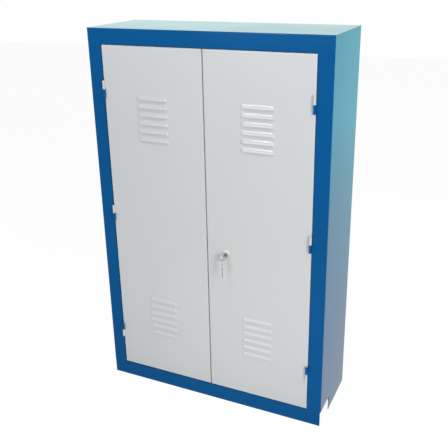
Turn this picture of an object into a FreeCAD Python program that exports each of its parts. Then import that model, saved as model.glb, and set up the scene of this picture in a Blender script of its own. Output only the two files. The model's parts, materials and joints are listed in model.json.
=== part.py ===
import FreeCAD, Part
import os
import re
import Sketcher

from FreeCAD import Placement, Rotation, Vector

# Sizes of the cabinet in millimetres, whole counts and angles in degrees, each named once.
SIZES = {
    # Carcass
    "width": 760,
    "height": 1200,
    "depth": 266,
    "body_sheet": 1.2,
    "fold_radius": 3,
    "stile_width": 44,
    "top_rail": 46,
    "bottom_rail": 49,
    "jamb_depth": 23,
    "stop_lip": 12,
    "rear_flange": 18,
    "lap_flange": 15,
    "base_hem": 15,
    "hem_setback": 60,
    "notch_depth": 90,
    "notch_height": 50,
    "notch_step": 2,
    # Doors
    "door_sheet": 1.2,
    "door_depth": 18,
    "door_gap": 2,
    "centre_gap": 3,
    "door_recess": 1,
    "door_lip": 12,
    "door_fold_radius": 3,
    "stiffener_width": 40,
    "stiffener_rise": 12,
    "stiffener_foot": 14,
    "stiffener_length": 460,
    # Louvres
    "louvre_length": 100,
    "louvre_drop": 12,
    "louvre_rise": 5,
    "louvre_pitch": 25,
    "louvre_rows": 6,
    "louvre_groups": 2,
    "louvre_margin": 145,
    # Hinges
    "barrel_radius": 4,
    "barrel_length": 26,
    "barrel_round": 1,
    "barrel_cap": 3,
    "barrel_foot": 6,
    "frame_foot": 12,
    "hinge_inset": 2.5,
    "foot_sheet": 1.5,
    "foot_inset": 2,
    "hinge_margin": 145,
    "middle_hinge_rise": 3,
    "hinge_end_gap": 0.3,
    "hinge_pin_radius": 2.5,
    "running_gap": 0.05,
    "press_gap": 0.02,
    "pin_tip_gap": 1,
    # Lock
    "lock_inset": 62.5,
    "lock_height": 538,
    "lock_rim_radius": 13,
    "lock_rim": 4,
    "lock_rim_round": 1.5,
    "lock_barrel_radius": 9.5,
    "lock_hole_gap": 0.1,
    "lock_nut_width": 26,
    "lock_nut_height": 4,
    "plug_radius": 7,
    "plug_proud": 0.6,
    "plug_boss": 8,
    "boss_gap": 0.1,
    "cam_thickness": 2.5,
    "cam_width": 16,
    "cam_engagement": 11,
    "cam_gap": 0.6,
    "cam_screw_radius": 2,
    "cam_screw_length": 6,
    "cam_screw_head_radius": 5,
    "cam_screw_head": 2.6,
    "screw_slot": 1.2,
    # Key
    "keyway_height": 8.4,
    "keyway_width": 2.4,
    "keyway_depth": 18,
    "key_height": 7.8,
    "key_thickness": 2,
    "key_blade": 17,
    "key_shoulder_gap": 1,
    "key_neck": 4,
    "key_neck_height": 11,
    "key_bow_radius": 13,
    "key_hole_radius": 4,
    "key_hole_wall": 1.5,
    "key_cut_depth": 2.2,
    "key_cut_width": 1.6,
    # Ring
    "ring_radius": 9,
    "ring_wire_radius": 0.7,
    "ring_turn": 30,
    "ring_play": 0.8,
    # Hand bolts
    "bolt_radius": 4,
    "bolt_length": 120,
    "bolt_travel": 20,
    "bolt_inset": 26,
    "bolt_stop_gap": 1,
    "bolt_end_gap": 3,
    "bolt_guide_gap": 0.1,
    "bolt_tip_round": 1.5,
    "bolt_tail": 12,
    "guide_sheet": 2,
    "guide_width": 22,
    "guide_foot": 14,
    "guide_margin": 3,
    "knob_shank_radius": 2,
    "knob_radius": 3,
    "knob_length": 12,
    "knob_head_radius": 5,
    "knob_head": 5,
    "knob_round": 1.5,
    "knob_play": 1,
    "floor_hole_gap": 2.5,
    # Shelves
    "shelf_sheet": 1,
    "shelf_rise": 25,
    "shelf_front": 46,
    "shelf_back_gap": 4,
    "shelf_side_gap": 0.5,
    "shelf_round": 1.5,
    "lower_shelf_slot": 5,
    "middle_shelf_slot": 10,
    "upper_shelf_slot": 15,
    "rack_width": 24,
    "rack_rise": 9,
    "rack_sheet": 1.2,
    "rack_inset": 60,
    "rack_end_gap": 15,
    "rack_slot_count": 20,
    "rack_slot_pitch": 50,
    "rack_slot_margin": 60,
    "rack_slot_height": 3.2,
    "rack_slot_width": 14,
    "clip_width": 12,
    "clip_sheet": 1.5,
    "clip_tongue": 12,
    "clip_rise": 14,
    "clip_play": 0.3,
    "clip_tail": 4,
    # Rubber buffers
    "buffer_radius": 5,
    "buffer_gap": 0.3,
    "buffer_margin": 50,
    "buffer_centre_offset": 60,
    # Overrun of every cutting tool past the face that it cuts
    "overrun": 1,
}

# Sizes and places that follow from the named ones. Y is measured from the front of the frame.
DERIVED = {
    "lock_front": "door_recess - lock_rim",
    "plug_front": "lock_front - plug_proud",
    "key_front": "plug_front - key_shoulder_gap",
    "bow_y": "key_front - key_neck - key_bow_radius",
    "key_hole_y": "bow_y - key_bow_radius + key_hole_radius + key_hole_wall",
    "ring_reach": "ring_radius * sin(ring_turn) + ring_wire_radius - key_hole_y",
    "spare_half": "key_bow_radius * cos(ring_turn) + key_thickness / 2 * sin(ring_turn)",
    "spare_reach": "spare_half - key_hole_y",
    "front": "(max(key_bow_radius - bow_y; ring_reach; spare_reach) - depth) / 2",
    "half": "width / 2",
    "opening_half": "half - stile_width",
    "opening_top": "height - top_rail",
    "side_inside": "half - body_sheet",
    "flat_half": "half - fold_radius",
    "under_top": "height - body_sheet",
    "back_front": "depth - 2 * body_sheet",
    "stop_front": "jamb_depth - body_sheet",
    "door_inner_x": "centre_gap / 2",
    "door_outer_x": "opening_half - door_gap",
    "door_centre_x": "(door_outer_x + door_inner_x) / 2",
    "door_bottom": "bottom_rail + door_gap",
    "door_height": "opening_top - door_gap - door_bottom",
    "door_inside": "door_recess + door_sheet",
    "door_back": "door_recess + door_depth",
    "louvre_radius": "(louvre_rise * louvre_rise + louvre_drop * louvre_drop) / (2 * louvre_rise)",
    "louvre_centre": "louvre_radius - louvre_rise",
    "throat_radius": "louvre_radius - door_sheet",
    "louvre_straight": "louvre_length - 2 * louvre_rise",
    "louvre_run": "(louvre_rows - 1) * louvre_pitch",
    "top_louvre_z": "door_height - louvre_margin - louvre_drop",
    "louvre_group_run": "top_louvre_z - louvre_run - louvre_margin",
    "hinge_x": "door_outer_x - hinge_inset",
    "hinge_reach": "barrel_length - barrel_cap - pin_tip_gap",
    "lock_x": "door_inner_x + lock_inset",
    "lock_back": "door_back + cam_gap",
    "cam_back": "lock_back + cam_thickness",
    "cam_reach": "lock_x + door_inner_x + cam_engagement",
    "ring_z": "lock_height - key_hole_radius + ring_wire_radius + ring_play - ring_radius",
    "spare_hole_z": "ring_z - ring_radius + ring_wire_radius + ring_play - key_hole_radius",
    "bolt_x": "door_inner_x + bolt_inset",
    "bolt_y": "jamb_depth + bolt_stop_gap + bolt_radius",
    "guide_span": "bolt_travel + 2 * (knob_radius + knob_play)",
    "guide_back": "bolt_y + bolt_radius + guide_margin",
    "tail_guide": "bolt_tail + bolt_travel",
    "knob_from_tail": "tail_guide + guide_sheet + knob_play + knob_radius",
    "tip_guide": "tail_guide + guide_sheet + guide_span",
    "rack_face": "side_inside - rack_rise",
    "rack_bottom": "bottom_rail + rack_end_gap",
    "rack_top": "under_top - lap_flange - rack_end_gap",
    "rack_rear": "back_front - rack_inset",
    "clip_hook": "rack_slot_height - 2 * clip_play",
    "clip_seat": "clip_rise - clip_hook / 2",
    "clip_back": "rack_face + rack_sheet + clip_play",
    "shelf_half": "rack_face - clip_sheet - shelf_side_gap",
    "shelf_back": "back_front - shelf_back_gap",
}

# Depth of each cut along the key's blade, as shares of the deepest one.
KEY_CUT_SHARES = (0.45, 1, 0.7, 0.3)

RIGHT = 1
LEFT = -1
SIDE_NAMES = {RIGHT: "right", LEFT: "left"}
TOUCH = 1e-4

parts = {}

doc = FreeCAD.newDocument("tool_cabinet")
sheet = doc.addObject("Spreadsheet::Sheet", "Sizes")
for row, (alias, number) in enumerate(SIZES.items(), start=1):
    sheet.set(f"A{row}", alias)
    sheet.set(f"B{row}", str(number))
    sheet.setAlias(f"B{row}", alias)
doc.recompute()


def cells(text):
    """Point every size name in an expression at the sheet or at the derived values."""

    def owner(match):
        word = match.group(0)
        if word in SIZES:
            return f"Sizes.{word}"
        if word in DERIVED:
            return f"Derived.{word}"
        return word

    return re.sub(r"[a-z_][a-z_0-9]*", owner, text)


derived = doc.addObject("App::VarSet", "Derived")
for alias in DERIVED:
    derived.addProperty("App::PropertyFloat", alias, "Derived")
for alias, text in DERIVED.items():
    derived.setExpression(alias, cells(text))
doc.recompute()


def value(text):
    """Work out an expression in size names as a number."""
    return float(sheet.evalExpression(cells(text)))


def bind(item, **expressions):
    """Bind properties to expressions; a double underscore in a name stands for a dot."""
    for name, text in expressions.items():
        item.setExpression(name.replace("__", "."), cells(text))
    return item


def keep(item, name):
    """Name a finished sub-part and list it for export."""
    item.Label = name
    parts[name] = item
    return item


def sided(side, text):
    """Give a place along X for the right side, or its mirror image for the left side."""
    return text if side == RIGHT else f"-({text})"


def span(side, low, high):
    """Give a span along X for the right side, or its mirror image for the left side."""
    return (low, high) if side == RIGHT else (f"-({high})", f"-({low})")


def across(text):
    """Give a span along X that is centred on the cabinet."""
    return f"-({text})", text


# Primitives
def block(name, x, y, z):
    """Box from three spans."""
    box = doc.addObject("Part::Box", name)
    return bind(
        box,
        Length=f"({x[1]}) - ({x[0]})",
        Width=f"({y[1]}) - ({y[0]})",
        Height=f"({z[1]}) - ({z[0]})",
        Placement__Base__x=x[0],
        Placement__Base__y=f"front + ({y[0]})",
        Placement__Base__z=z[0],
    )


def rod(name, radius, length, turn, x, y, z):
    """Cylinder that starts at a point and runs along Z, turned to another direction."""
    cylinder = doc.addObject("Part::Cylinder", name)
    cylinder.Placement = Placement(Vector(0, 0, 0), turn)
    return bind(
        cylinder,
        Radius=radius,
        Height=f"({length[1]}) - ({length[0]})",
        Placement__Base__x=x,
        Placement__Base__y=f"front + ({y})",
        Placement__Base__z=z,
    )


def upright_rod(name, radius, x, y, z):
    return rod(name, radius, z, Rotation(), x, y, z[0])


def depth_rod(name, radius, x, y, z):
    return rod(name, radius, y, Rotation(Vector(1, 0, 0), -90), x, y[0], z)


def cross_rod(name, radius, x, y, z):
    return rod(name, radius, x, Rotation(Vector(0, 1, 0), 90), x[0], y, z)


def joined(name, pieces):
    fuse = doc.addObject("Part::MultiFuse", name)
    fuse.Shapes = pieces
    fuse.Refine = True
    return fuse


def cut(name, base, tool):
    result = doc.addObject("Part::Cut", name)
    result.Base = base
    result.Tool = tool
    result.Refine = True
    return result


def lies(edge, **places):
    """Tell whether an edge lies wholly at the given places along X, Y or Z."""
    box = edge.BoundBox
    limits = {"x": (box.XMin, box.XMax), "y": (box.YMin, box.YMax), "z": (box.ZMin, box.ZMax)}
    return all(abs(end - place) < TOUCH for axis, place in places.items() for end in limits[axis])


def along_z(x, *depths):
    """Make a test for the edges that stand at a place along X and one of the depths."""
    place = value(x)
    ends = [value(f"front + {depth}") for depth in depths]
    return lambda edge: any(lies(edge, x=place, y=end) for end in ends)


def along_x(y, z):
    """Make a test for the edges that run across the cabinet at a depth and a height."""
    depth = value(f"front + {y}")
    height = value(z)
    return lambda edge: lies(edge, y=depth, z=height)


def rounded(name, base, rounds):
    """Round a base: each radius goes to the edges that its test accepts."""
    doc.recompute()
    edges = []
    for radius, chosen in rounds.items():
        size = value(radius)
        numbers = [n for n, edge in enumerate(base.Shape.Edges, start=1) if chosen(edge)]
        if not numbers:
            raise RuntimeError(f"{name}: no edge to round by {radius}")
        edges += [(n, size, size) for n in numbers]
    fillet = doc.addObject("Part::Fillet", name)
    fillet.Base = base
    fillet.Edges = edges
    return fillet


# Sketches
def draw_polygon(sketch, points):
    """Close a polygon whose corners are each held by two dimensions."""
    first = sketch.GeometryCount
    corners = [Vector(value(x), value(y), 0) for x, y in points]
    count = len(corners)
    for n in range(count):
        sketch.addGeometry(Part.LineSegment(corners[n], corners[(n + 1) % count]), False)
    for n in range(count):
        following = first + (n + 1) % count
        sketch.addConstraint(Sketcher.Constraint("Coincident", first + n, 2, following, 1))
    for n, (x, y) in enumerate(points):
        hold_point(sketch, first + n, 1, x, y)


def hold_point(sketch, geometry, corner, x=None, y=None):
    """Hold a point of the sketch at a place along its axes, or along one of them."""
    for kind, text in (("DistanceX", x), ("DistanceY", y)):
        if text is None:
            continue
        size = value(text)
        number = sketch.addConstraint(Sketcher.Constraint(kind, -1, 1, geometry, corner, size))
        sketch.setExpression(f"Constraints[{number}]", cells(text))


def draw_circle(sketch, radius, x, y):
    circle = Part.Circle(Vector(value(x), value(y), 0), Vector(0, 0, 1), value(radius))
    geometry = sketch.addGeometry(circle, False)
    hold_point(sketch, geometry, 3, x, y)
    number = sketch.addConstraint(Sketcher.Constraint("Radius", geometry, value(radius)))
    sketch.setExpression(f"Constraints[{number}]", cells(radius))


def body_sketch(body, role, name, offset="0"):
    """Sketch on one of a body's own origin planes, moved along the plane's normal."""
    sketch = body.newObject("Sketcher::SketchObject", name)
    plane = next(item for item in body.Origin.OriginFeatures if item.Role == role)
    sketch.AttachmentSupport = [(plane, "")]
    sketch.MapMode = "FlatFace"
    sketch.setExpression("AttachmentOffset.Base.z", cells(offset))
    return sketch


def body_feature(body, kind, name, sketch, **expressions):
    feature = body.newObject(kind, name)
    feature.Profile = sketch
    bind(feature, **expressions)
    sketch.Visibility = False
    return feature


def body_fillet(body, base, name, radius, depth):
    """Round the edges that lie at one depth of a body, measured from its own origin."""
    doc.recompute()
    place = value(depth)
    numbers = [n for n, edge in enumerate(base.Shape.Edges, start=1) if lies(edge, y=place)]
    fillet = body.newObject("PartDesign::Fillet", name)
    fillet.Base = (base, [f"Edge{n}" for n in numbers])
    return bind(fillet, Radius=radius)


def profile_prism(name, points, y):
    """Prism along Y over a polygon in X and Z."""
    sketch = doc.addObject("Sketcher::SketchObject", f"{name}_outline")
    sketch.Placement = Placement(Vector(0, 0, 0), Rotation(Vector(1, 0, 0), 90))
    bind(sketch, Placement__Base__y=f"front + ({y[1]})")
    draw_polygon(sketch, points)
    prism = doc.addObject("Part::Extrusion", name)
    prism.Base = sketch
    prism.DirMode = "Normal"
    prism.Solid = True
    return bind(prism, LengthFwd=f"({y[1]}) - ({y[0]})")


# Carcass
def side_panel(side):
    """One folded sheet: side, front stile, jamb with its stop lip, rear flange and base hem."""
    name = f"{SIDE_NAMES[side]}_side_panel"
    inner_jamb = "opening_half + body_sheet"
    full_height = ("0", "under_top")
    folds = {
        "web": (span(side, "side_inside", "half"), ("0", "depth"), full_height),
        "stile": (span(side, "opening_half", "half"), ("0", "body_sheet"), full_height),
        "rear": (
            span(side, "half - rear_flange", "half"),
            ("depth - body_sheet", "depth"),
            full_height,
        ),
        "jamb": (
            span(side, "opening_half", inner_jamb),
            ("0", "jamb_depth"),
            ("bottom_rail", "opening_top"),
        ),
        "stop": (
            span(side, "opening_half - stop_lip", inner_jamb),
            ("stop_front", "jamb_depth"),
            ("bottom_rail", "opening_top"),
        ),
        "hem": (
            span(side, "half - base_hem", "half"),
            ("notch_depth + hem_setback", "back_front"),
            ("0", "body_sheet"),
        ),
    }
    solids = [block(f"{name}_{fold}", *spans) for fold, spans in folds.items()]
    bent = rounded(
        f"{name}_bent",
        joined(f"{name}_folded", solids),
        {
            "fold_radius": along_z(sided(side, "half"), "0", "depth"),
            "fold_radius - body_sheet": along_z(
                sided(side, "side_inside"), "body_sheet", "depth - body_sheet"
            ),
        },
    )
    mitre = profile_prism(
        f"{name}_mitre",
        [
            (sided(side, "opening_half"), "opening_top"),
            (sided(side, "half"), "height"),
            (sided(side, "opening_half"), "height"),
        ],
        ("-overrun", "body_sheet"),
    )
    notch = block(
        f"{name}_notch",
        span(side, "half - notch_step", "half + overrun"),
        ("-overrun", "notch_depth"),
        ("-overrun", "notch_height"),
    )
    keep(cut(f"{name}_cut", bent, joined(f"{name}_cuts", [mitre, notch])), name)


def top_panel():
    """Top with the front rail and its stop lip, mitred to the stiles, and its lap flanges."""
    name = "top_panel"
    lap_bottom = "under_top - lap_flange"
    solids = [
        block("top_sheet", across("half"), ("0", "depth"), ("under_top", "height")),
        block("top_front", across("half"), ("0", "body_sheet"), ("opening_top", "height")),
        block(
            "top_jamb",
            across("opening_half"),
            ("0", "jamb_depth"),
            ("opening_top", "opening_top + body_sheet"),
        ),
        block(
            "top_stop",
            across("opening_half - stop_lip"),
            ("stop_front", "jamb_depth"),
            ("opening_top - stop_lip", "opening_top + body_sheet"),
        ),
        block(
            "top_rear",
            across("half - rear_flange"),
            ("depth - body_sheet", "depth"),
            ("height - rear_flange", "height"),
        ),
    ]
    for side in (RIGHT, LEFT):
        solids.append(
            block(
                f"top_lap_{SIDE_NAMES[side]}",
                span(side, "side_inside - body_sheet", "side_inside"),
                ("jamb_depth", "back_front"),
                (lap_bottom, "height"),
            )
        )
    bent = rounded(
        "top_bent",
        joined("top_folded", solids),
        {
            "fold_radius": along_x("0", "height"),
            "fold_radius - body_sheet": along_x("body_sheet", "under_top"),
        },
    )
    mitres = [
        profile_prism(
            f"top_mitre_{SIDE_NAMES[side]}",
            [
                (sided(side, "opening_half"), "opening_top"),
                (sided(side, "half"), "height"),
                (sided(side, "half"), "opening_top"),
            ],
            ("-overrun", "body_sheet"),
        )
        for side in (RIGHT, LEFT)
    ]
    keep(cut("top_cut", bent, joined("top_mitres", mitres)), name)


def bottom_panel():
    """Floor with the front rail, its base hem and the lap flanges, and the lower bolt's hole."""
    floor_bottom = "bottom_rail - body_sheet"
    lap_bottom = "bottom_rail - lap_flange"
    solids = [
        block(
            "floor_front",
            across("flat_half"),
            ("body_sheet", "notch_depth"),
            (floor_bottom, "bottom_rail"),
        ),
        block(
            "floor_sheet",
            across("side_inside"),
            ("notch_depth", "back_front"),
            (floor_bottom, "bottom_rail"),
        ),
        block("floor_rail", across("opening_half"), ("0", "body_sheet"), ("0", "bottom_rail")),
        block("floor_hem", across("opening_half"), ("0", "base_hem"), ("0", "body_sheet")),
        block(
            "floor_rear",
            across("side_inside"),
            ("back_front - body_sheet", "back_front"),
            (lap_bottom, "bottom_rail"),
        ),
    ]
    for side in (RIGHT, LEFT):
        solids.append(
            block(
                f"floor_lap_{SIDE_NAMES[side]}",
                span(side, "side_inside - body_sheet", "side_inside"),
                ("notch_depth", "back_front"),
                (lap_bottom, "bottom_rail"),
            )
        )
    hole = upright_rod(
        "floor_bolt_hole",
        "bolt_radius + floor_hole_gap",
        "-bolt_x",
        "bolt_y",
        (f"{floor_bottom} - overrun", "bottom_rail + overrun"),
    )
    keep(cut("floor_cut", joined("floor_folded", solids), hole), "bottom_panel")


def back_panel():
    """Flat back, set against the rear flanges and clear of the rounds of the folds."""
    back = block(
        "back_sheet",
        across("flat_half"),
        ("back_front", "back_front + body_sheet"),
        ("0", "under_top"),
    )
    keep(back, "back_panel")


def shelf_rack(side, place, y):
    """Slotted channel on the inside of a side panel."""
    name = f"shelf_rack_{place}_{SIDE_NAMES[side]}"
    body = doc.addObject("PartDesign::Body", f"{name}_body")
    bind(body, Placement__Base__y=f"front + {y}", Placement__Base__z="rack_bottom")
    edge = "rack_width / 2"
    inner = "rack_width / 2 - rack_sheet"
    web = "rack_face + rack_sheet"
    section = body_sketch(body, "XY_Plane", f"{name}_section")
    outline = [
        ("rack_face", f"-{edge}"),
        ("side_inside", f"-{edge}"),
        ("side_inside", f"-({inner})"),
        (web, f"-({inner})"),
        (web, inner),
        ("side_inside", inner),
        ("side_inside", edge),
        ("rack_face", edge),
    ]
    draw_polygon(section, [(sided(side, x), across_y) for x, across_y in outline])
    length = "rack_top - rack_bottom"
    body_feature(body, "PartDesign::Pad", f"{name}_channel", section, Length=length)
    slot = body_sketch(body, "YZ_Plane", f"{name}_slot_outline", sided(side, "rack_face"))
    low = "rack_slot_margin - rack_slot_height / 2"
    high = "rack_slot_margin + rack_slot_height / 2"
    wide = "rack_slot_width / 2"
    draw_polygon(slot, [(f"-{wide}", low), (wide, low), (wide, high), (f"-{wide}", high)])
    first = body_feature(
        body, "PartDesign::Pocket", f"{name}_slot", slot, Length="2 * (rack_sheet + overrun)"
    )
    first.Midplane = True
    row = body.newObject("PartDesign::LinearPattern", f"{name}_slots")
    row.Originals = [first]
    row.Direction = (slot, ["V_Axis"])
    bind(row, Length="(rack_slot_count - 1) * rack_slot_pitch", Occurrences="rack_slot_count")
    body.Tip = row
    keep(body, name)


def shelf_rest(slot):
    """Height of the clips' tongues below a numbered slot of the racks."""
    return f"rack_bottom + rack_slot_margin + {slot} * rack_slot_pitch - clip_seat"


SHELF_SLOTS = {
    "lower": "lower_shelf_slot",
    "middle": "middle_shelf_slot",
    "upper": "upper_shelf_slot",
}
RACK_PLACES = {"front": "rack_inset", "rear": "rack_rear"}


def shelf(place, slot):
    """Tray with its four edges turned down, which stand on the clips."""
    name = f"{place}_shelf"
    rest = shelf_rest(slot)
    outer = block(
        f"{name}_outer",
        across("shelf_half"),
        ("shelf_front", "shelf_back"),
        (rest, f"{rest} + shelf_rise"),
    )
    inner = block(
        f"{name}_inner",
        across("shelf_half - shelf_sheet"),
        ("shelf_front + shelf_sheet", "shelf_back - shelf_sheet"),
        (f"{rest} - overrun", f"{rest} + shelf_rise - shelf_sheet"),
    )
    top = value(f"{rest} + shelf_rise")
    under = value(f"{rest} + shelf_rise - shelf_sheet")
    bent = rounded(
        f"{name}_bent",
        cut(f"{name}_pan", outer, inner),
        {
            "shelf_round": lambda edge: lies(edge, z=top),
            "shelf_round - shelf_sheet": lambda edge: lies(edge, z=under),
        },
    )
    keep(bent, name)


def shelf_clips():
    """Bent clips that hook into the racks' slots, four under each shelf."""
    clips = []
    for place, slot in SHELF_SLOTS.items():
        rest = shelf_rest(slot)
        top = f"{rest} + clip_rise"
        hook = f"{top} - clip_hook"
        outline = [
            ("rack_face - clip_tongue", f"{rest} - clip_sheet"),
            ("rack_face", f"{rest} - clip_sheet"),
            ("rack_face", hook),
            ("clip_back", hook),
            ("clip_back", f"{hook} - clip_tail"),
            ("clip_back + clip_sheet", f"{hook} - clip_tail"),
            ("clip_back + clip_sheet", top),
            ("rack_face - clip_sheet", top),
            ("rack_face - clip_sheet", rest),
            ("rack_face - clip_tongue", rest),
        ]
        for side in (RIGHT, LEFT):
            for rack, y in RACK_PLACES.items():
                clips.append(
                    profile_prism(
                        f"{place}_clip_{rack}_{SIDE_NAMES[side]}",
                        [(sided(side, x), z) for x, z in outline],
                        (f"{y} - clip_width / 2", f"{y} + clip_width / 2"),
                    )
                )
    keep(joined("clip_set", clips), "shelf_clips")


def door_buffers():
    """Rubber buttons on the stop lips, where the doors close."""
    lip_x = "opening_half - stop_lip / 2"
    lip_z = "opening_top - stop_lip / 2"
    places = [(lip_x, "bottom_rail + buffer_margin"), (lip_x, "opening_top - buffer_margin")]
    places.append(("buffer_centre_offset", lip_z))
    buttons = []
    for side in (RIGHT, LEFT):
        for x, z in places:
            name = f"buffer_{SIDE_NAMES[side]}_{len(buttons)}"
            depth = ("door_back + buffer_gap", "stop_front")
            buttons.append(depth_rod(name, "buffer_radius", sided(side, x), depth, z))
    keep(joined("buffer_set", buttons), "door_buffers")


# Hinges. A frame barrel's centre lies at each height above the door's foot; the door's barrel
# stands on it, except at the bottom, where it is below so that the door cannot be lifted off.
HINGES = {
    "top": ("door_height - hinge_margin", True),
    "middle": ("door_height / 2 + middle_hinge_rise", True),
    "bottom": ("hinge_margin", False),
}


def hinge_spans(height, door_above):
    """Spans along Z of the frame barrel, the door barrel, its bore and the pin."""
    centre = f"door_bottom + {height}"
    low = f"{centre} - barrel_length / 2"
    high = f"{centre} + barrel_length / 2"
    if door_above:
        seat = f"{high} + hinge_end_gap"
        return {
            "frame": (low, high),
            "door": (seat, f"{seat} + barrel_length"),
            "bore": (f"{seat} - overrun", f"{seat} + barrel_length - barrel_cap"),
            "pin": (low, f"{seat} + hinge_reach"),
            "cap": f"{seat} + barrel_length",
            "frame_end": low,
        }
    seat = f"{low} - hinge_end_gap"
    return {
        "frame": (low, high),
        "door": (f"{seat} - barrel_length", seat),
        "bore": (f"{seat} - barrel_length + barrel_cap", f"{seat} + overrun"),
        "pin": (f"{seat} - hinge_reach", high),
        "cap": f"{seat} - barrel_length",
        "frame_end": high,
    }


def hinge_set(side):
    """Frame barrels, door barrels and pins of one door."""
    prefix = SIDE_NAMES[side]
    x = sided(side, "hinge_x")
    frame_foot = span(side, "hinge_x", "hinge_x + frame_foot")
    door_foot = span(side, "hinge_x - barrel_foot", "hinge_x")
    frame_solids, frame_bores, door_solids, door_bores, pins = [], [], [], [], []
    caps, ends = [], []
    for place, (height, door_above) in HINGES.items():
        at = hinge_spans(height, door_above)
        name = f"{prefix}_{place}"
        caps.append(value(at["cap"]))
        ends.append(value(at["frame_end"]))
        y = "-barrel_radius"
        frame = at["frame"]
        door = at["door"]
        frame_z = (f"{frame[0]} + foot_inset", f"{frame[1]} - foot_inset")
        frame_y = ("-foot_sheet", "0")
        door_z = (f"{door[0]} + foot_inset", f"{door[1]} - foot_inset")
        door_y = ("-foot_sheet", "door_recess")
        frame_solids.append(upright_rod(f"{name}_frame_barrel", "barrel_radius", x, y, frame))
        frame_solids.append(block(f"{name}_frame_foot", frame_foot, frame_y, frame_z))
        door_solids.append(upright_rod(f"{name}_door_barrel", "barrel_radius", x, y, door))
        door_solids.append(block(f"{name}_door_foot", door_foot, door_y, door_z))
        through = (f"{frame[0]} - overrun", f"{frame[1]} + overrun")
        tight = "hinge_pin_radius + press_gap"
        loose = "hinge_pin_radius + running_gap"
        frame_bores.append(upright_rod(f"{name}_frame_bore", tight, x, y, through))
        door_bores.append(upright_rod(f"{name}_door_bore", loose, x, y, at["bore"]))
        pins.append(upright_rod(f"{name}_pin", "hinge_pin_radius", x, y, at["pin"]))

    def outer_end(places):
        return lambda edge: any(lies(edge, z=place) for place in places) and round_edge(edge)

    def round_edge(edge):
        return isinstance(edge.Curve, Part.Circle)

    frame = rounded(
        f"{prefix}_frame_rounded",
        joined(f"{prefix}_frame_barrels", frame_solids),
        {"barrel_round": outer_end(ends)},
    )
    door = rounded(
        f"{prefix}_door_rounded",
        joined(f"{prefix}_door_barrels", door_solids),
        {"barrel_round": outer_end(caps)},
    )
    frame_holes = joined(f"{prefix}_frame_bores", frame_bores)
    door_holes = joined(f"{prefix}_door_bores", door_bores)
    keep(cut(f"{prefix}_frame_bored", frame, frame_holes), f"{prefix}_frame_hinge_barrels")
    keep(cut(f"{prefix}_door_bored", door, door_holes), f"{prefix}_door_hinge_barrels")
    keep(joined(f"{prefix}_pins", pins), f"{prefix}_hinge_pins")


# Doors
def draw_hood(sketch, radius, back):
    """Louvre section: an arc from the sheet down to the open lower edge, closed at a back line."""
    bottom = "top_louvre_z"
    centre = Vector(value("louvre_centre"), value(bottom), 0)
    size = value(radius)
    drop = (size**2 - centre.x**2) ** 0.5
    high = Vector(0, centre.y + drop, 0)
    low = Vector(centre.x - size, centre.y, 0)
    middle = (high + low) * 0.5
    outward = middle - centre
    middle = centre + outward * (size / outward.Length)
    arc = sketch.addGeometry(Part.Arc(high, middle, low), False)
    places = [low, Vector(value(back), low.y, 0)]
    if back != "0":
        places.append(Vector(value(back), high.y, 0))
    places.append(high)
    lines = [
        sketch.addGeometry(Part.LineSegment(start, end), False)
        for start, end in zip(places, places[1:])
    ]
    shape = sketch.Geometry[arc]
    starts_high = shape.StartPoint.y > shape.EndPoint.y
    high_end, low_end = (1, 2) if starts_high else (2, 1)
    sketch.addConstraint(Sketcher.Constraint("Coincident", arc, low_end, lines[0], 1))
    sketch.addConstraint(Sketcher.Constraint("Coincident", lines[-1], 2, arc, high_end))
    for start, end in zip(lines, lines[1:]):
        sketch.addConstraint(Sketcher.Constraint("Coincident", start, 2, end, 1))
    hold_point(sketch, arc, 3, "louvre_centre", bottom)
    number = sketch.addConstraint(Sketcher.Constraint("Radius", arc, size))
    sketch.setExpression(f"Constraints[{number}]", cells(radius))
    hold_point(sketch, arc, high_end, x="0")
    hold_point(sketch, arc, low_end, y=bottom)
    hold_point(sketch, lines[0], 2, back, bottom)
    if back != "0":
        hold_point(sketch, lines[1], 2, x=back)
        sketch.addConstraint(Sketcher.Constraint("Horizontal", lines[-1]))


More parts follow.
